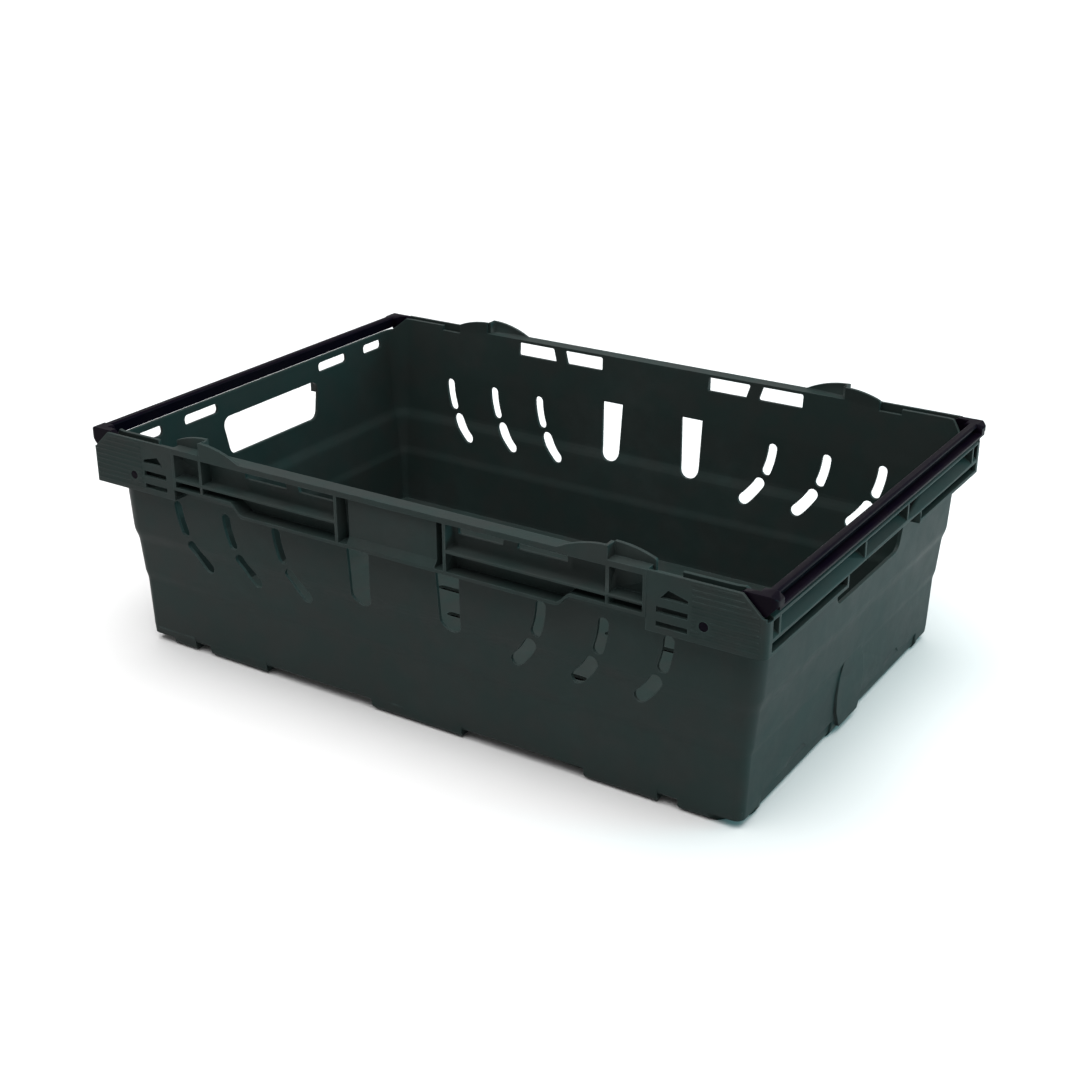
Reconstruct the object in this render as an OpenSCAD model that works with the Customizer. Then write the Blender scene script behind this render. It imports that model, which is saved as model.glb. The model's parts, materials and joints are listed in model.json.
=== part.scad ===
// Ventilated stack-and-nest crate with two swinging bale arms.
// Origin: centre of the footprint, on the surface it stands on.
// X runs along the length, Y across the width, Z is up.

/* [Overall] */
// Length over the two bars in their outboard position
crate_l = 596; // [592:1:600]
// Width over the two long-side rims
crate_w = 400; // [396:1:410]
// Height of the long-side rim
rim_h = 189; // [185:1:195]
// Height of the stacking lugs above the rim
lug_rise = 10; // [6:1:12]

/* [Moulding] */
// Thickness of the walls
wall_t = 2.6; // [2:0.1:3]
// Thickness of the floor
floor_t = 2.8; // [2.4:0.1:3]
// Thickness of rim flanges and ribs
rib_t = 2.6; // [2:0.1:3]
// Outside corner radius at the rim
corner_r = 22; // [20:1:26]
// Height of the feet below the floor
foot_h = 6.9; // [6:0.1:8]

/* [Bale arms] */
// Distance of each pivot from the middle of the crate
pivot_x = 250; // [248:1:252]
// Height of the pivots
pivot_z = 159; // [158:1:160]
// Radius of the pivot pins
pin_r = 3.4; // [3:0.1:3.6]
// Radial clearance of the pins in their holes
pin_gap = 0.05; // [0.02:0.01:0.1]
// Thickness of each leg
leg_t = 5.3; // [5:0.1:5.6]

/* [Hidden] */
$fn = 64;

body_colour = [0.13, 0.17, 0.16];
arm_colour = [0.06, 0.05, 0.08];
eps = 0.01;

// Outer face of the walls at the rim, and where the corners begin
rim_depth = 9.5;                      // rim, outward from a long wall
end_rim_depth = 6.5;                  // rim, outward from an end wall
wall_y = crate_w / 2 - rim_depth;
wall_x = crate_l / 2 - 10.5;
corner_x = wall_x - corner_r;
corner_y = wall_y - corner_r;
end_top = rim_h - 9.5;                // top edge of the end walls
over_z = rim_h + 30;                  // above every part of the crate
panel_x = wall_x + end_rim_depth;     // outer end of the pivot panels

function ease(t) = t < 0 ? 0 : t > 1 ? 1 : t * t * (3 - 2 * t);

// Smooth step of the wall path between two [inset, height] points
function soft_step(from, to) =
    [for (i = [0:5]) [from[0] + (to[0] - from[0]) * ease(i / 5), from[1] + (to[1] - from[1]) * i / 5]];

base_inset = 14.3;                    // wall inside the rim line, at its foot
floor_inset = base_inset + 5.2;       // the same for the flat underside

// How far the wall's outer face lies inside the rim line: [inset, height]
wall_path = concat([[0, rim_h], [3.6, 145]],
    soft_step([5.6, 104], [8.9, 90]), soft_step([10.9, 66], [12.9, 55]),
    [[base_inset, foot_h + 7], [base_inset + 0.7, foot_h + 3],
    [base_inset + 2.8, foot_h + 0.8], [floor_inset, foot_h]]);
floor_top = foot_h + floor_t;

// Features along the long side, from the middle outwards
label_half = 39;                      // flat label panel
label_face = crate_w / 2 - 4;
inner_rib_x = 48;
slot_bar_top = [93.5, 105];           // bar between the two grip slots
slot_bar_low = [90, 101.5];
lug_start = 140;
lug_x = 179;                          // rib through the peak of a lug
web_x = 208;                          // start of the pivot panel
notch_x = [209.8, 229.5];             // seat of a bar swung inboard
notch_z = rim_h - 4.5;

// Rim flanges on the long side: undersides
top_flange_z = rim_h - rib_t;
mid_flange_z = rim_h - 26.2;
low_flange_z = rim_h - 43;
raised_flange_z = rim_h - 34;
panel_low_z = rim_h - 43;

// Cuts that part a long wall into lower zones and bands under the rim
zone_x = 80;
band_z = mid_flange_z;
band_x = [46, 148];

// Rim flanges on the ends: undersides
end_top_flange_z = rim_h - 17;
end_low_flange_z = rim_h - 31;
end_skirt_z = rim_h - 43;
end_skirt_y = 67;
end_rib_y = [40, 180];

// Feet along the length, each mirrored; the end feet run out to the end walls
mid_foot = [148, 208];
end_foot = 224;
foot_corner_clip = 55;                // cut off the end feet's corners, at 45 degrees
foot_hollow_edge = 24;                // hollow to the rim line
foot_hollow_clip = 12;                // cut off the hollow's outer corners

// Bale arms: plate in the slot behind the pivot panels, and the bar
leg_y = wall_y + 0.7;
bar_in = wall_x - 1;
bar_top = rim_h + 0.6;
bar_low = end_top + 0.3;
elbow_x = wall_x - 4.5;
boss_r = 8;

// Vertical outer edges rounded in plan
panel_edge_r = 6;
arm_edge_r = 4.5;

module both_x() {
    children();
    mirror([1, 0, 0]) children();
}

module both_y() {
    children();
    mirror([0, 1, 0]) children();
}

// 2-D shape drawn in X and Z, given a thickness between two Y values
module upright(y0, y1) {
    translate([0, y1, 0]) rotate([90, 0, 0]) linear_extrude(y1 - y0) children();
}

// 2-D shape drawn in Y and Z, given a thickness between two X values
module sideways(x0, x1) {
    translate([x0, 0, 0]) rotate([90, 0, 90]) linear_extrude(x1 - x0) children();
}

module block(low, high) {
    translate(low) cube(high - low);
}

module rounded(r) {
    offset(r = r, $fn = 24) offset(delta = -r) children();
}

// ---- Walls -------------------------------------------------------------

// Wall section: reach is the distance of the rim line from the section's axis,
// and extra is how far it runs on above the rim
module wall_section(reach, extra = 0) {
    last = len(wall_path) - 1;
    outer = concat([[reach, rim_h + extra]], [for (p = wall_path) [reach - p[0], p[1]]]);
    inner = [for (i = [last - 2:-1:0]) [reach - wall_path[i][0] - wall_t, wall_path[i][1]]];
    polygon(concat(outer, [[reach - floor_inset, floor_top]], inner,
        [[reach - wall_t, rim_h + extra]]));
}

// Everything inside the outer face, which the rims are trimmed against
module block_section(reach) {
    polygon(concat([for (p = wall_path) [reach - p[0], p[1]]],
        [[0, foot_h], [0, rim_h]]));
}

module body_block() {
    both_y() sideways(-corner_x, corner_x) block_section(wall_y);
    both_x() upright(-corner_y, corner_y) block_section(wall_x);
    both_x() both_y() translate([corner_x, corner_y, 0])
        rotate_extrude(angle = 90) block_section(corner_r);
}

// Points of an arc, from one angle to another
function arc(centre, r, from, to, steps = 8) =
    [for (i = [0:steps]) let (a = from + (to - from) * i / steps)
        centre + r * [cos(a), sin(a)]];

// Slot that follows an arc, vertical at the top and leaning to the middle
module arc_slot(radius, width, from, to) {
    middle = [-radius, 0];
    low = middle + radius * [cos(to), -sin(to)];
    high = middle + radius * [cos(from), -sin(from)];
    polygon(concat(
        arc(middle, radius + width / 2, -from, -to),
        arc(low, width / 2, -to, -to - 180),
        arc(middle, radius - width / 2, -to, -from),
        arc(high, width / 2, 180 - from, -from)));
}

module side_slots() {
    slot_r = 76;
    top_z = 139.5;
    for (x = [119, 169, 219]) translate([x, top_z]) {
        arc_slot(slot_r, 8.4, 3.5, 20);
        arc_slot(slot_r, 10, 30, 46);
    }
}

// Tall tapered slot with a round lower end
module tall_slot() {
    top_z = 147.5;
    polygon(concat([[29.8, top_z], [50.6, top_z]], arc([40.6, 101], 9, 0, -180, 12)));
}

module grip_slots() {
    low_z = rim_h - 14.6;
    rounded(1.5) polygon([[53.5, top_flange_z], [slot_bar_top[0], top_flange_z],
        [slot_bar_low[0], low_z], [53, low_z]]);
    rounded(1.5) polygon([[slot_bar_top[1], top_flange_z], [142.5, top_flange_z],
        [142.5, low_z], [slot_bar_low[1], low_z]]);
}

// Height of a stacking lug above the rim at a distance x from the middle
function lug_z(x) =
    let (half = lug_x - lug_start, r = (half * half + lug_rise * lug_rise) / (2 * lug_rise))
    sqrt(r * r - (x - lug_x) * (x - lug_x)) - r + lug_rise;

function lug_arc(from, to) =
    [for (i = [0:16]) let (x = from + (to - from) * i / 16) [x, rim_h + lug_z(x)]];

// Top edge of a long wall, from the middle outwards: lug, seat, plain rim
function wall_edge() = concat([[0, rim_h], [lug_x, rim_h]], lug_arc(lug_x, notch_x[0]),
    [[notch_x[0], notch_z], [notch_x[1], notch_z], [notch_x[1], rim_h], [corner_x + 1, rim_h]]);

module above_wall_edge() {
    polygon(concat(wall_edge(), [[corner_x + 1, over_z], [0, over_z]]));
}

module long_wall() {
    difference() {
        sideways(-corner_x, corner_x) wall_section(wall_y, lug_rise + 1);
        both_x() upright(wall_y - 30, wall_y + 5) {
            side_slots();
            tall_slot();
            grip_slots();
            above_wall_edge();
        }
    }
}

// Zone of a long wall between two distances from the middle and two heights
module wall_zone(x, z) {
    color(body_colour) intersection() {
        long_wall();
        block([x[0], 0, z[0]], [x[1], crate_w, z[1]]);
    }
}

module middle_wall() { wall_zone([-zone_x, zone_x], [0, band_z]); }
module side_wall() { wall_zone([zone_x, crate_l], [0, band_z]); }
module middle_band() { wall_zone([-band_x[0], band_x[0]], [band_z, over_z]); }
module grip_band() { wall_zone(band_x, [band_z, over_z]); }
module lug_band() { wall_zone([band_x[1], crate_l], [band_z, over_z]); }

module hand_hole() {
    top_z = end_low_flange_z + 1.4;
    low_z = top_z - 34.6;
    rounded(8) polygon([[-64, top_z], [64, top_z], [57.5, low_z], [-57.5, low_z]]);
}

module end_slots() {
    for (span = [[67, 107], [133, 160]])
        rounded(3.5) translate([span[0], rim_h - 23.4]) square([span[1] - span[0], 8.6]);
}

// Slot-like shallow recess along the foot of an end wall, with a hump in its top edge
module end_recess() {
    depth = 1.4;
    difference() {
        sideways(wall_x - 30, wall_x + 5) for (s = [-1, 1]) polygon([
            [s * 26, -1], [s * 146, -1], [s * 146, 15.5], [s * 106, 16.5], [s * 101, 22], [s * 79, 22.5],
            [s * 69, 15], [s * 26, 14.5]]);
        upright(-crate_w, crate_w) {
            block_section(wall_x - depth);
            foot_section(wall_x - depth);
        }
    }
}

// Upright pad on the lower middle of each end, standing proud of the taper
module end_pad() {
    face = wall_x - 11.8;
    half = [[17, 7], [24, 22], [25, 36], [22, 50], [15, 62], [9, 67]];
    difference() {
        sideways(face - 12, face)
            polygon(concat(half, [for (i = [len(half) - 1:-1:0]) [-half[i][0], half[i][1]]]));
        upright(-corner_y, corner_y) {
            block_section(wall_x);
            foot_section(wall_x);
        }
    }
}

module end_wall() {
    difference() {
        intersection() {
            upright(-corner_y, corner_y) wall_section(wall_x);
            block([0, -corner_y, 0], [crate_l, corner_y, end_top]);
        }
        sideways(wall_x - 30, wall_x + 5) {
            hand_hole();
            end_slots();
            mirror([1, 0]) end_slots();
        }
        end_recess();
    }
    end_pad();
}

// Slope that drops the rim from the long wall to the end wall's top edge
module corner_slope() {
    polygon([[wall_x - 14.5, rim_h], [wall_x - 5, end_top], [crate_l, end_top],
        [crate_l, over_z], [wall_x - 14.5, over_z]]);
}

module wall_corner() {
    difference() {
        translate([corner_x, corner_y, 0])
            rotate_extrude(angle = 90) wall_section(corner_r);
        upright(0, crate_w) corner_slope();
    }
}

// ---- Base --------------------------------------------------------------

module floor_outline() {
    edge_x = wall_x - floor_inset;
    edge_y = wall_y - floor_inset;
    r = corner_r - floor_inset;
    quarter = [for (a = [0:15:90]) [edge_x - r + r * cos(a), edge_y - r + r * sin(a)]];
    back = [for (i = [len(quarter) - 1:-1:0]) quarter[i]];
    polygon(concat(quarter, [for (p = back) [-p[0], p[1]]],
        [for (p = quarter) [-p[0], -p[1]]], [for (p = back) [p[0], -p[1]]]));
}

module floor_vent(length) {
    width = 7;
    square([length - width, width], center = true);
    for (s = [-1, 1]) translate([s * (length - width) / 2, 0]) circle(d = width);
}

module floor_panel() {
    color(body_colour) difference() {
        translate([0, 0, foot_h]) linear_extrude(floor_t) floor_outline();
        for (x = [66, 104], y = [20:40:140]) both_x() both_y()
            translate([x, y, foot_h - 1]) linear_extrude(floor_t + 2) floor_vent(30);
    }
}

// Outer section of the feet: straight on from the wall, then round to the base
module foot_section(reach) {
    r = foot_h;
    polygon(concat([[0, 0], [0, foot_h + 7], [reach - base_inset, foot_h + 7]],
        [for (a = [0:15:90]) [reach - base_inset - 0.6 - r * (1 - cos(a)), r * (1 - sin(a))]]));
}

module foot_block() {
    both_y() sideways(-corner_x, corner_x) foot_section(wall_y);
    both_x() upright(-corner_y, corner_y) foot_section(wall_x);
    both_x() both_y() translate([corner_x, corner_y, 0])
        rotate_extrude(angle = 90) foot_section(corner_r);
}

// Side view of a foot, with its lower corners rounded
module foot_profile(x0, x1) {
    r = 4.5;
    polygon(concat([[x0, foot_h + 8]], arc([x0 + r, r], r, 180, 270, 4),
        arc([x1 - r, r], r, 270, 360, 4), [[x1, foot_h + 8]]));
}

// Plan of the hollow under a foot, clear of the round corners of the end feet
module foot_hollow(x0, x1) {
    y = wall_y - foot_hollow_edge;
    clip = foot_hollow_clip;
    intersection() {
        translate([x0, -y]) square([x1 - x0, 2 * y]);
        polygon([[wall_x - foot_hollow_edge - clip, -y], [wall_x - foot_hollow_edge, clip - y],
            [wall_x - foot_hollow_edge, y - clip], [wall_x - foot_hollow_edge - clip, y], [-wall_x, y],
            [-wall_x, -y]]);
    }
}

// Shallow hollow foot: a rounded rim with cross ribs under the floor
module foot(x0, x1) {
    t = 3;
    color(body_colour) difference() {
        intersection() {
            foot_block();
            upright(-crate_w, crate_w) foot_profile(x0, x1);
        }
        body_block();
        end_recess();
        both_y() translate([0, 0, -1]) linear_extrude(foot_h + 1)
            polygon([[wall_x, wall_y], [wall_x - foot_corner_clip, wall_y],
                [wall_x, wall_y - foot_corner_clip]]);
        difference() {
            translate([0, 0, -1]) linear_extrude(foot_h + 2) foot_hollow(x0 + t, x1 - t);
            for (y = [-110:55:110]) block([x0, y - t, -2], [x1, y + t, foot_h + 2]);
        }
    }
}

module centre_foot() { foot(-42, 42); }
module mid_foot() { foot(mid_foot[0], mid_foot[1]); }
module end_foot() { foot(end_foot, crate_l); }

// ---- Long-side rims ----------------------------------------------------

// Bottom flange, which steps up over the lug of the crate below
module low_flange() {
    steps = 8;
    from = 139;
    to = 151;
    rise = raised_flange_z - low_flange_z;
    xs = [for (i = [0:steps]) from + (to - from) * i / steps];
    path = concat([[0, 0]], [for (x = xs) [x, rise * ease((x - from) / (to - from))]],
        [[web_x, rise]]);
    edge = [for (p = path) [p[0], p[1] + low_flange_z]];
    back = [for (i = [len(path) - 1:-1:0]) [path[i][0], path[i][1] + low_flange_z + rib_t]];
    polygon(concat(edge, back));
}

module long_rim_half() {
    face = wall_y + rim_depth;
    inside = wall_y - 6;
    // flanges
    block([-eps, wall_y, top_flange_z], [web_x, face, rim_h]);
    block([inner_rib_x, inside, mid_flange_z], [web_x, face, mid_flange_z + rib_t]);
    upright(inside, face) low_flange();
    // lip turned down along the outer edge
    block([-eps, face - 2.2, rim_h - 4.4], [web_x, face, rim_h]);
    // label panel, set back over a sloping ledge, and its side return
    sideways(-eps, label_half) polygon([[label_face - rib_t, top_flange_z + eps],
        [label_face, top_flange_z + eps], [label_face, low_flange_z + 8], [face, low_flange_z + rib_t],
        [face, low_flange_z], [label_face - rib_t, low_flange_z]]);
    block([label_half - rib_t, inside, low_flange_z], [label_half, label_face, top_flange_z + eps]);
    // ribs
    block([inner_rib_x - rib_t / 2, inside, low_flange_z],
        [inner_rib_x + rib_t / 2, face, top_flange_z + eps]);
    block([lug_x - rib_t / 2, inside, raised_flange_z],
        [lug_x + rib_t / 2, face, top_flange_z + eps]);
    block([lug_x - rib_t, wall_y, top_flange_z], [lug_x, face, rim_h + lug_rise - 0.1]);
    block([web_x - rib_t, inside, raised_flange_z], [web_x, face, rim_h]);
    upright(face - rib_t, face)
        polygon(concat(lug_arc(lug_start, lug_x), [[lug_x, top_flange_z], [lug_start, top_flange_z]]));
}

module long_rim() {
    difference() {
        both_x() long_rim_half();
        both_y() sideways(-corner_x, corner_x) block_section(wall_y);
    }
}

// ---- Pivot panels ------------------------------------------------------

module panel_vents() {
    x0 = 215.5;
    x1 = 238.5;
    polygon([[x0 + 3, rim_h - 17.5], [x0 + 8.5, rim_h - 11], [x1, rim_h - 15],
        [x1, rim_h - 17.5]]);
    translate([x0, rim_h - 28.2]) square([x1 - x0, 4.2]);
    translate([x0, rim_h - 38.2]) square([x1 - x0, 3.6]);
}

module panel_outline() {
    difference() {
        translate([web_x, panel_low_z]) square([panel_x - web_x, rim_h - panel_low_z]);
        polygon([[276, rim_h + 1], [276, rim_h], [291, rim_h - 14.4], [panel_x + 1, rim_h - 14.4],
            [panel_x + 1, rim_h + 1]]);
    }
}

// Fine raised lines that give the corner panels their grip
module panel_ridges(face) {
    pitch = 4.1;
    width = 1.3;
    upright(face - 1, face) intersection() {
        for (i = [0:9]) translate([241, panel_low_z + 3.4 + i * pitch]) square([60, width]);
        difference() {
            polygon([[241, panel_low_z], [291, panel_low_z], [291, rim_h - 17], [272, rim_h],
                [241, rim_h]]);
            translate([pivot_x, pivot_z]) circle(r = 6.2, $fn = 12);
        }
    }
}

// Everything outside a vertical edge rounded in plan, for trimming a square one
module outside_round_edge(x, y, r) {
    translate([0, 0, rim_h - 60]) linear_extrude(90)
        polygon(concat(arc([x - r, y - r], r, 0, 90), [[x - r, y + 2], [x + 2, y + 2], [x + 2, y - r]]));
}

module pivot_panel() {
    face = wall_y + rim_depth;
    skin = 0.4;
    difference() {
        union() {
            upright(face - rib_t, face - skin) panel_outline();
            panel_ridges(face);
            block([web_x, wall_y - 6, panel_low_z], [corner_x, face - rib_t + eps, panel_low_z + rib_t]);
            block([corner_x - eps, wall_y, panel_low_z],
                [panel_x, face - rib_t + eps, panel_low_z + rib_t]);
            block([panel_x - rib_t, wall_y, panel_low_z],
                [panel_x, face - rib_t + eps, end_top_flange_z]);
        }
        upright(0, crate_w) panel_vents();
        translate([pivot_x, face + 1, pivot_z]) rotate([90, 0, 0])
            cylinder(r = pin_r + pin_gap, h = 8);
        outside_round_edge(panel_x, face, panel_edge_r);
        body_block();
    }
}

// ---- End rims ----------------------------------------------------------

// Rim flange on an end, sloping down outwards from the wall
module end_flange(z, fall) {
    inside = corner_x + eps;
    upright(-eps, wall_y - eps) polygon([[inside, z], [wall_x - 2, z], [panel_x, z - fall],
        [panel_x, z - fall + rib_t], [wall_x - 2, z + rib_t], [inside, z + rib_t]]);
}

module end_rim_half() {
    inside = corner_x + eps;
    y_end = wall_y - eps;
    end_flange(end_top_flange_z + 3, 4);
    end_flange(end_low_flange_z + 4, 6.5);
    block([inside, end_skirt_y, end_skirt_z], [panel_x, y_end, end_skirt_z + rib_t]);
    block([inside, end_skirt_y, end_skirt_z], [panel_x, end_skirt_y + rib_t, end_low_flange_z]);
    for (y = end_rib_y)
        block([inside, y - rib_t / 2, end_low_flange_z],
            [panel_x, y + rib_t / 2, end_top_flange_z]);
}

module end_rim() {
    difference() {
        both_y() end_rim_half();
        body_block();
    }
}

// ---- Bale arms ---------------------------------------------------------

// Bar section: top ridge, outward recess and bottom lip
module bar_section() {
    out = crate_l / 2;
    polygon([
        [bar_in, bar_low], [out, bar_low], [out, bar_low + 1.6], [out - 1.2, bar_low + 2.2],
        [bar_in + 4, bar_low + 2.4], [bar_in + 4, bar_top - 3], [out - 4.5, bar_top - 2.6],
        [out - 4.5, bar_top - 1.2], [out - 5.8, bar_top], [bar_in + 1.5, bar_top],
        [bar_in, bar_top - 1.5]
    ]);
}

module leg_outline() {
    out = crate_l / 2;
    translate([pivot_x, pivot_z]) circle(r = boss_r);
    polygon([[pivot_x - 4.1, pivot_z + 6.9], [275.5, bar_top], [out - 4, bar_top],
        [out, bar_top - 3.4], [out, bar_top - 7], [out - 6.5, rim_h - 13.8],
        [out - 10.5, rim_h - 13.8], [pivot_x + 4.1, pivot_z - 6.9]]);
}

module elbow_outline() {
    out = crate_l / 2;
    polygon([[elbow_x, bar_low], [out, bar_low], [out, bar_top - 3.4], [out - 4, bar_top],
        [elbow_x + 1.5, bar_top], [elbow_x, bar_top - 1.6]]);
}

module bale_arm() {
    elbow_y = wall_y - 6;
    color(arm_colour) {
        upright(-elbow_y - eps, elbow_y + eps) bar_section();
        both_y() {
            upright(elbow_y, leg_y + eps) elbow_outline();
            difference() {
                upright(leg_y, leg_y + leg_t) leg_outline();
                outside_round_edge(crate_l / 2, leg_y + leg_t, arm_edge_r);
            }
            translate([pivot_x, leg_y + leg_t - eps, pivot_z]) rotate([-90, 0, 0])
                cylinder(r = pin_r, h = wall_y + rim_depth - 0.6 - leg_y - leg_t);
        }
    }
}

// ---- Placed nodes ------------------------------------------------------

module right_mid_foot() { mid_foot(); }
module left_mid_foot() { mirror([1, 0, 0]) mid_foot(); }
module right_end_foot() { end_foot(); }
module left_end_foot() { mirror([1, 0, 0]) end_foot(); }

module rear_wall() { middle_wall(); }
module rear_band() { middle_band(); }
module rear_right_wall() { side_wall(); }
module rear_right_grip_band() { grip_band(); }
module rear_right_lug_band() { lug_band(); }
module rear_left_wall() { mirror([1, 0, 0]) side_wall(); }
module rear_left_grip_band() { mirror([1, 0, 0]) grip_band(); }
module rear_left_lug_band() { mirror([1, 0, 0]) lug_band(); }

module front_wall() { mirror([0, 1, 0]) middle_wall(); }
module front_band() { mirror([0, 1, 0]) middle_band(); }
module front_right_wall() { mirror([0, 1, 0]) side_wall(); }
module front_right_grip_band() { mirror([0, 1, 0]) grip_band(); }
module front_right_lug_band() { mirror([0, 1, 0]) lug_band(); }
module front_left_wall() { mirror([0, 1, 0]) rear_left_wall(); }
module front_left_grip_band() { mirror([0, 1, 0]) rear_left_grip_band(); }
module front_left_lug_band() { mirror([0, 1, 0]) rear_left_lug_band(); }

module right_end_wall() { color(body_colour) end_wall(); }
module left_end_wall() { color(body_colour) mirror([1, 0, 0]) end_wall(); }

module rear_right_corner() { color(body_colour) wall_corner(); }
module rear_left_corner() { color(body_colour) mirror([1, 0, 0]) wall_corner(); }
module front_right_corner() { color(body_colour) mirror([0, 1, 0]) wall_corner(); }
module front_left_corner() {
    color(body_colour) mirror([1, 0, 0]) mirror([0, 1, 0]) wall_corner();
}

module rear_rim() { color(body_colour) long_rim(); }
module front_rim() { color(body_colour) mirror([0, 1, 0]) long_rim(); }
module right_end_rim() { color(body_colour) end_rim(); }
module left_end_rim() { color(body_colour) mirror([1, 0, 0]) end_rim(); }

module rear_right_pivot_panel() { color(body_colour) pivot_panel(); }
module rear_left_pivot_panel() { color(body_colour) mirror([1, 0, 0]) pivot_panel(); }
module front_right_pivot_panel() { color(body_colour) mirror([0, 1, 0]) pivot_panel(); }
module front_left_pivot_panel() {
    color(body_colour) mirror([1, 0, 0]) mirror([0, 1, 0]) pivot_panel();
}

module right_bale_arm() { bale_arm(); }
module left_bale_arm() { mirror([1, 0, 0]) bale_arm(); }

floor_panel();
centre_foot();
left_mid_foot();
right_mid_foot();
left_end_foot();
right_end_foot();
front_wall();
front_left_wall();
front_right_wall();
front_band();
front_left_grip_band();
front_right_grip_band();
front_left_lug_band();
front_right_lug_band();
rear_wall();
rear_left_wall();
rear_right_wall();
rear_band();
rear_left_grip_band();
rear_right_grip_band();
rear_left_lug_band();
rear_right_lug_band();
left_end_wall();
right_end_wall();
front_left_corner();
front_right_corner();
rear_left_corner();
rear_right_corner();
front_rim();
rear_rim();
left_end_rim();
right_end_rim();
front_left_pivot_panel();
front_right_pivot_panel();
rear_left_pivot_panel();
rear_right_pivot_panel();
left_bale_arm();
right_bale_arm();
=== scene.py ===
"""Looks for a ventilated bale-arm stack and nest crate: one body moulding and two swinging arms."""
import json
import math

import bmesh
import bpy
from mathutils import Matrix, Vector


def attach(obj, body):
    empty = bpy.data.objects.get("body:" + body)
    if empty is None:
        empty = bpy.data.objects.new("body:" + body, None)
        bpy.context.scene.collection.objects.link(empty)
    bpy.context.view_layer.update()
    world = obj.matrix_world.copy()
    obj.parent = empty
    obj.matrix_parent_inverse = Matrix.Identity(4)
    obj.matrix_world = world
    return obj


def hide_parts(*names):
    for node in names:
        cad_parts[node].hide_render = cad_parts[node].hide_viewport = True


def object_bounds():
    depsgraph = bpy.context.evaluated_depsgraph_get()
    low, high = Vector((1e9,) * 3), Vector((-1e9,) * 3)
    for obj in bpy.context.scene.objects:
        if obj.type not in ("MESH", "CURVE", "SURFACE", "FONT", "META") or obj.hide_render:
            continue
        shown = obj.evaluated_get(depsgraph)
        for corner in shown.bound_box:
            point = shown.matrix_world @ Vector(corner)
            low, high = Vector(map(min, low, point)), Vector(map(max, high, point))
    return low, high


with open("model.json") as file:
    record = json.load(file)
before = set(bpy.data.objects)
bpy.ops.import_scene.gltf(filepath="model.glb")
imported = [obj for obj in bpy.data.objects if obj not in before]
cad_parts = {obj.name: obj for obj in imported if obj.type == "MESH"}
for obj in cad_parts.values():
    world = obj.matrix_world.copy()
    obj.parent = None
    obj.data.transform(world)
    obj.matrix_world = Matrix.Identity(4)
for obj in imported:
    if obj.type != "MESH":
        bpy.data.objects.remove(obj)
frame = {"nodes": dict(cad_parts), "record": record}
MM = 0.001
cad_low, cad_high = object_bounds()
half = (cad_high - cad_low) / 2

# Camera: where it looks from, and the point it looks at as a share of the crate's half size and height
CAMERA_AZIMUTH = 32.54
CAMERA_ELEVATION = 23.34
CAMERA_DISTANCE = 1.1137
CAMERA_LENS = 55.65
SENSOR_WIDTH = 36
AIM = Vector((0.4184 * half.x, -0.9809 * half.y, 0.9497 * 2 * half.z))

SHARP_ANGLE = math.radians(22)
FLAT_ANGLE = math.radians(0.6)
WELD_DISTANCE = 0.004 * MM
MERGE_DISTANCE = 0.03 * MM

BODY_COLOUR = (0.0118, 0.0195, 0.0182, 1)
BODY_TINT = (0.0145, 0.0190, 0.0180, 1)
# Lighter colour laid along the body's edges as a painted edge highlight, broken up like wear, and on
# faint random patches
BODY_WEAR_AND_EDGE_HIGHLIGHT = (0.040, 0.060, 0.058, 1)
ARM_COLOUR = (0.0016, 0.0008, 0.0030, 1)
ARM_TINT = (0.0024, 0.0014, 0.0032, 1)
# Lighter colour laid along the arms' edges as a painted edge highlight, broken up like wear, and on faint
# random patches
ARM_WEAR_AND_EDGE_HIGHLIGHT = (0.014, 0.011, 0.018, 1)

# Size of the surface marks of the plastic: noise scales per metre, and depths
GRAIN_SCALE = 1400.0
RUB_SCALE = 60.0
BLOTCH_SCALE = 34.0
FLOW_SCALE = 9.0
GRAIN_DEPTH = 0.12 * MM
FLOW_DEPTH = 1.2 * MM
FLOW_STRENGTH = 0.20
# Width of the lightened edges, which are a painted edge highlight
HIGHLIGHT_AND_WEAR_EDGE_WIDTH = 1.6 * MM
ROUND_EDGE_RADIUS = 0.7 * MM
PLASTIC_IOR = 1.49

# Studio
FLOOR_SIZE = 60
FLOOR_ALBEDO = 0.50
FLOOR_ROUGHNESS = 0.9
HORIZON_STRENGTH = 1.0
HORIZON_FADE = (0.10, 0.30)
SKY_STRENGTH = 0.4
OVERHEAD_POWER = 6.5
OVERHEAD_SPREAD = math.radians(75)
OVERHEAD_AT = (0.1, -0.3, 2.6)
END_LIGHT_POWER = 42
END_LIGHT_COLOUR = (0.10, 0.93, 1.0)
END_LIGHT_SIZE = 1.3
END_LIGHT_AT = (2.2, 1.1, 0.55)


# ---- Materials ---------------------------------------------------------

class Nodes:
    """Small helper that adds and links shader nodes of one material."""

    def __init__(self, name):
        self.material = bpy.data.materials.new(name)
        self.material.use_nodes = True
        self.tree = self.material.node_tree
        self.shader = self.tree.nodes["Principled BSDF"]

    def add(self, kind, inputs=(), **settings):
        node = self.tree.nodes.new(kind)
        for key, value in settings.items():
            setattr(node, key, value)
        for key, value in dict(inputs).items():
            if isinstance(value, bpy.types.NodeSocket):
                self.tree.links.new(value, node.inputs[key])
            else:
                node.inputs[key].default_value = value
        return node

    def link(self, socket, name):
        self.tree.links.new(socket, self.shader.inputs[name])


def noise(nodes, where, scale, detail=3.0, roughness=0.55):
    made = nodes.add("ShaderNodeTexNoise", {"Vector": where, "Scale": scale, "Detail": detail,
                                            "Roughness": roughness})
    return made.outputs["Fac"]


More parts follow.
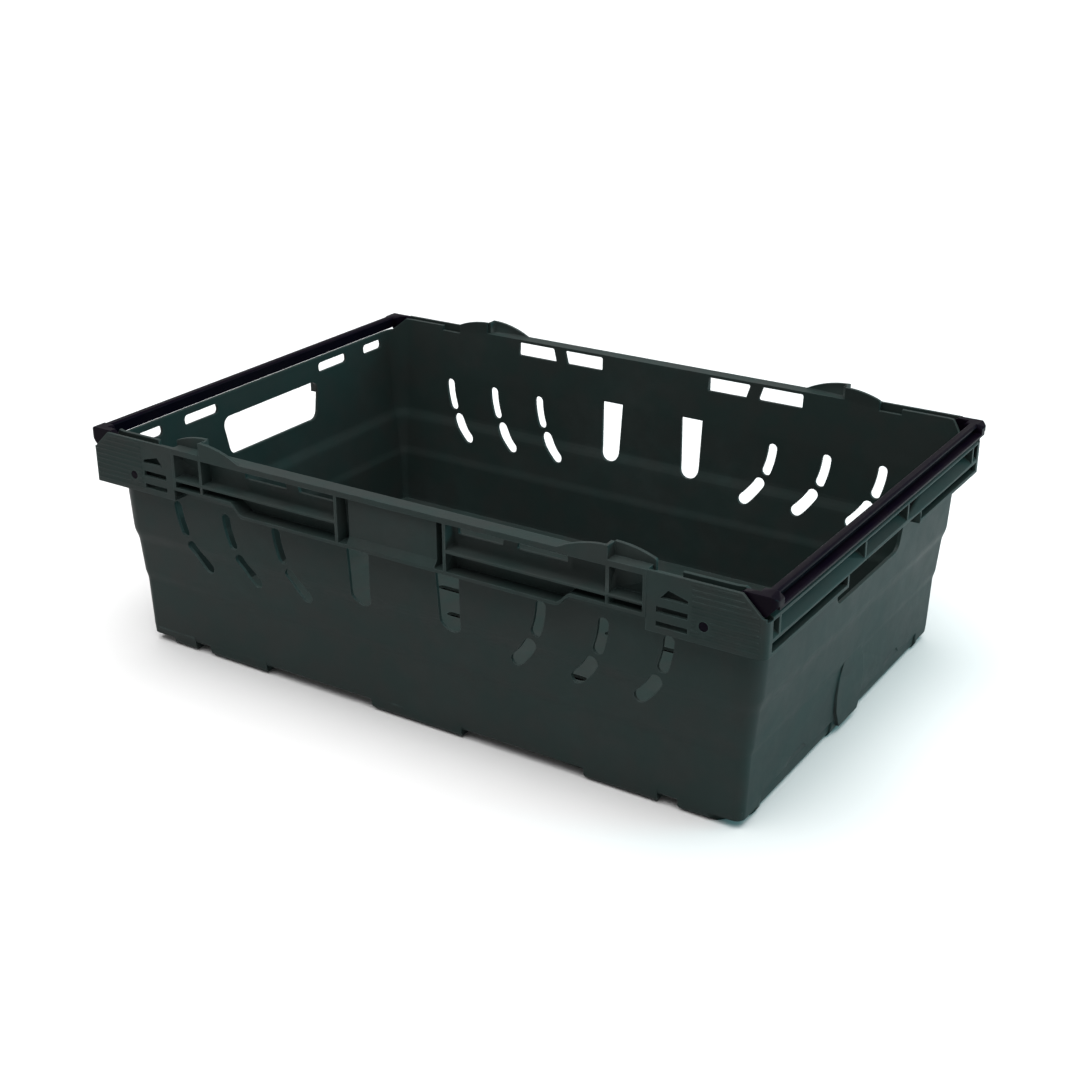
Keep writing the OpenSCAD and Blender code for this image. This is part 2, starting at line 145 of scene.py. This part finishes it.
def remap(nodes, value, low, high, to_low, to_high):
    made = nodes.add("ShaderNodeMapRange", {"Value": value, "From Min": low, "From Max": high,
                                            "To Min": to_low, "To Max": to_high})
    made.clamp = True
    return made.outputs["Result"]


def maths(nodes, operation, a, b):
    made = nodes.add("ShaderNodeMath", {0: a, 1: b}, operation=operation)
    return made.outputs["Value"]


def mix(nodes, factor, a, b):
    made = nodes.add("ShaderNodeMix", {"Factor": factor, 6: a, 7: b}, data_type="RGBA")
    return made.outputs[2]


def edge_mask(nodes, radius):
    """White where two faces meet within the radius, black on the flats."""
    bevel = nodes.add("ShaderNodeBevel", {"Radius": radius}, samples=6)
    normal = nodes.add("ShaderNodeNewGeometry").outputs["Normal"]
    dot = nodes.add("ShaderNodeVectorMath", {0: bevel.outputs["Normal"], 1: normal},
                    operation="DOT_PRODUCT")
    return remap(nodes, dot.outputs["Value"], 0.97, 0.75, 0.0, 1.0)


def moulded_plastic(name, colours, grain, rough, gloss, wear_and_highlight_amount):
    """Plastic with fine grain, flow marks, rounded edges, a painted highlight along edges broken up like
    wear, and lighter patches.
    """
    base, tint, wear_and_highlight_colour = colours
    nodes = Nodes(name)
    where = nodes.add("ShaderNodeTexCoord").outputs["Object"]
    fine = noise(nodes, where, GRAIN_SCALE, 2.0, 0.6)
    flow = noise(nodes, where, FLOW_SCALE, 5.0, 0.6)
    rubbed = noise(nodes, where, RUB_SCALE, 6.0, 0.7)
    blotch = noise(nodes, where, BLOTCH_SCALE, 3.0, 0.5)
    edges = edge_mask(nodes, HIGHLIGHT_AND_WEAR_EDGE_WIDTH)
    # Painted edge highlight: edges are lightened, broken up by noise as if rubbed
    edge_highlight_and_wear = maths(nodes, "MULTIPLY", edges, remap(nodes, rubbed, 0.40, 0.66, 0.25, 1.0))
    patches = maths(nodes, "MULTIPLY", remap(nodes, flow, 0.42, 0.70, 0.0, 0.16),
                    remap(nodes, rubbed, 0.38, 0.62, 0.2, 1.0))
    amount = maths(nodes, "MULTIPLY", maths(nodes, "MAXIMUM", edge_highlight_and_wear, patches), wear_and_highlight_amount)
    ground = mix(nodes, remap(nodes, blotch, 0.40, 0.60, 0.0, 1.0), base, tint)
    # The lighter colour goes on edges as painted highlight and partly wear, and on random patches as tone
    nodes.link(mix(nodes, amount, ground, wear_and_highlight_colour), "Base Color")
    uneven = remap(nodes, flow, 0.3, 0.7, rough - 0.05, rough + 0.07)
    nodes.link(maths(nodes, "ADD", uneven, remap(nodes, rubbed, 0.35, 0.7, -0.03, 0.05)), "Roughness")
    rounded = nodes.add("ShaderNodeBevel", {"Radius": ROUND_EDGE_RADIUS}, samples=6)
    grainy = nodes.add("ShaderNodeBump", {"Height": fine, "Strength": grain, "Distance": GRAIN_DEPTH,
                                          "Normal": rounded.outputs["Normal"]})
    wavy = nodes.add("ShaderNodeBump", {"Height": flow, "Strength": FLOW_STRENGTH, "Distance": FLOW_DEPTH,
                                        "Normal": grainy.outputs["Normal"]})
    nodes.link(wavy.outputs["Normal"], "Normal")
    nodes.shader.inputs["IOR"].default_value = PLASTIC_IOR
    nodes.shader.inputs["Specular IOR Level"].default_value = gloss
    return nodes.material


# ---- Meshes ------------------------------------------------------------

def copy_of(node):
    """A welded copy of a CAD node's mesh, as an object of its own."""
    mesh = frame["nodes"][node].data.copy()
    made = bpy.data.objects.new(node + "_copy", mesh)
    work = bmesh.new()
    work.from_mesh(mesh)
    bmesh.ops.remove_doubles(work, verts=work.verts, dist=WELD_DISTANCE)
    work.to_mesh(mesh)
    work.free()
    return made


def joined(name, node_names):
    """One continuous moulding from CAD zones that touch each other."""
    copies = [copy_of(node) for node in node_names]
    whole = copies[0]
    bpy.context.scene.collection.objects.link(whole)
    operands = bpy.data.collections.new(name + "_zones")
    bpy.context.scene.collection.children.link(operands)
    for piece in copies[1:]:
        operands.objects.link(piece)
    if copies[1:]:
        boolean = whole.modifiers.new("join", "BOOLEAN")
        boolean.operation = "UNION"
        boolean.operand_type = "COLLECTION"
        boolean.collection = operands
        boolean.solver = "MANIFOLD"
    graph = bpy.context.evaluated_depsgraph_get()
    mesh = bpy.data.meshes.new_from_object(whole.evaluated_get(graph))
    for piece in copies:
        bpy.data.objects.remove(piece)
    bpy.data.collections.remove(operands)
    made = bpy.data.objects.new(name, mesh)
    bpy.context.scene.collection.objects.link(made)
    return made


def clean(piece):
    """Merges stray points and flat faces left by the join, so that shading stays even."""
    work = bmesh.new()
    work.from_mesh(piece.data)
    bmesh.ops.remove_doubles(work, verts=work.verts, dist=MERGE_DISTANCE)
    bmesh.ops.dissolve_limit(work, angle_limit=FLAT_ANGLE, verts=work.verts, edges=work.edges)
    bmesh.ops.triangulate(work, faces=work.faces, ngon_method="BEAUTY")
    work.to_mesh(piece.data)
    work.free()


def shade(piece):
    """Smooth curved faces, crisp edges, and flat faces that stay flat."""
    piece.data.polygons.foreach_set("use_smooth", [True] * len(piece.data.polygons))
    piece.data.set_sharp_from_angle(angle=SHARP_ANGLE)
    normals = piece.modifiers.new("face_weighted_normals", "WEIGHTED_NORMAL")
    normals.keep_sharp = True
    normals.weight = 100


def finish_piece(piece, body, material, replaced):
    clean(piece)
    shade(piece)
    piece.data.materials.clear()
    piece.data.materials.append(material)
    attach(piece, body)
    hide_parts(*replaced)
    return piece


# ---- Studio ------------------------------------------------------------

def add_floor():
    bpy.ops.mesh.primitive_plane_add(size=FLOOR_SIZE)
    floor = bpy.context.object
    floor.name = "studio_floor"
    material = bpy.data.materials.new("studio_white")
    material.use_nodes = True
    shader = material.node_tree.nodes["Principled BSDF"]
    shader.inputs["Base Color"].default_value = (FLOOR_ALBEDO, FLOOR_ALBEDO, FLOOR_ALBEDO, 1)
    shader.inputs["Roughness"].default_value = FLOOR_ROUGHNESS
    floor.data.materials.append(material)


def place_light(light, at, aim):
    made = bpy.data.objects.new(light.name, light)
    made.location = at
    made.rotation_euler = (Vector(aim) - Vector(at)).to_track_quat("-Z", "Y").to_euler()
    made.visible_camera = False
    bpy.context.scene.collection.objects.link(made)


def add_lights():
    end_light = bpy.data.lights.new("right_end_light", "AREA")
    end_light.shape = "DISK"
    end_light.size = END_LIGHT_SIZE
    end_light.energy = END_LIGHT_POWER
    end_light.color = END_LIGHT_COLOUR
    place_light(end_light, END_LIGHT_AT, (half.x, 0, half.z))
    overhead = bpy.data.lights.new("overhead_light", "SUN")
    overhead.angle = OVERHEAD_SPREAD
    overhead.energy = OVERHEAD_POWER
    place_light(overhead, OVERHEAD_AT, (0, 0, half.z))
    add_world()
    bpy.context.scene.view_settings.view_transform = "Standard"


def add_world():
    """White at the horizon, where a low camera sees it, and dimmer overhead."""
    world = bpy.data.worlds.new("studio_world")
    world.use_nodes = True
    tree = world.node_tree
    where = tree.nodes.new("ShaderNodeTexCoord")
    split = tree.nodes.new("ShaderNodeSeparateXYZ")
    fade = tree.nodes.new("ShaderNodeMapRange")
    fade.inputs["From Min"].default_value = HORIZON_FADE[0]
    fade.inputs["From Max"].default_value = HORIZON_FADE[1]
    fade.inputs["To Min"].default_value = HORIZON_STRENGTH
    fade.inputs["To Max"].default_value = SKY_STRENGTH
    background = tree.nodes["Background"]
    background.inputs["Color"].default_value = (1, 1, 1, 1)
    tree.links.new(where.outputs["Generated"], split.inputs[0])
    tree.links.new(split.outputs["Z"], fade.inputs["Value"])
    tree.links.new(fade.outputs["Result"], background.inputs["Strength"])
    bpy.context.scene.world = world


def add_camera():
    azimuth = math.radians(CAMERA_AZIMUTH)
    elevation = math.radians(CAMERA_ELEVATION)
    back = Vector((math.sin(azimuth) * math.cos(elevation), -math.cos(azimuth) * math.cos(elevation),
                   math.sin(elevation)))
    data = bpy.data.cameras.new("camera")
    data.sensor_width = SENSOR_WIDTH
    data.lens = CAMERA_LENS
    camera = bpy.data.objects.new("camera", data)
    camera.location = AIM + back * CAMERA_DISTANCE
    camera.rotation_euler = (-back).to_track_quat("-Z", "Y").to_euler()
    bpy.context.scene.collection.objects.link(camera)
    bpy.context.scene.camera = camera


body_plastic = moulded_plastic("body_moulded_plastic", (BODY_COLOUR, BODY_TINT, BODY_WEAR_AND_EDGE_HIGHLIGHT),
                               grain=0.25, rough=0.46, gloss=0.07, wear_and_highlight_amount=0.7)
arm_plastic = moulded_plastic("arm_moulded_plastic", (ARM_COLOUR, ARM_TINT, ARM_WEAR_AND_EDGE_HIGHLIGHT),
                              grain=0.10, rough=0.34, gloss=0.03, wear_and_highlight_amount=0.5)

crate_zones = frame["record"]["behaviour"]["bodies"]["crate"]
finish_piece(joined("crate_moulding", crate_zones), "crate", body_plastic, crate_zones)
for side in ("left", "right"):
    arm = side + "_bale_arm"
    finish_piece(joined(side + "_arm_moulding", [arm]), side + "_arm", arm_plastic, [arm])

add_floor()
add_lights()
add_camera()
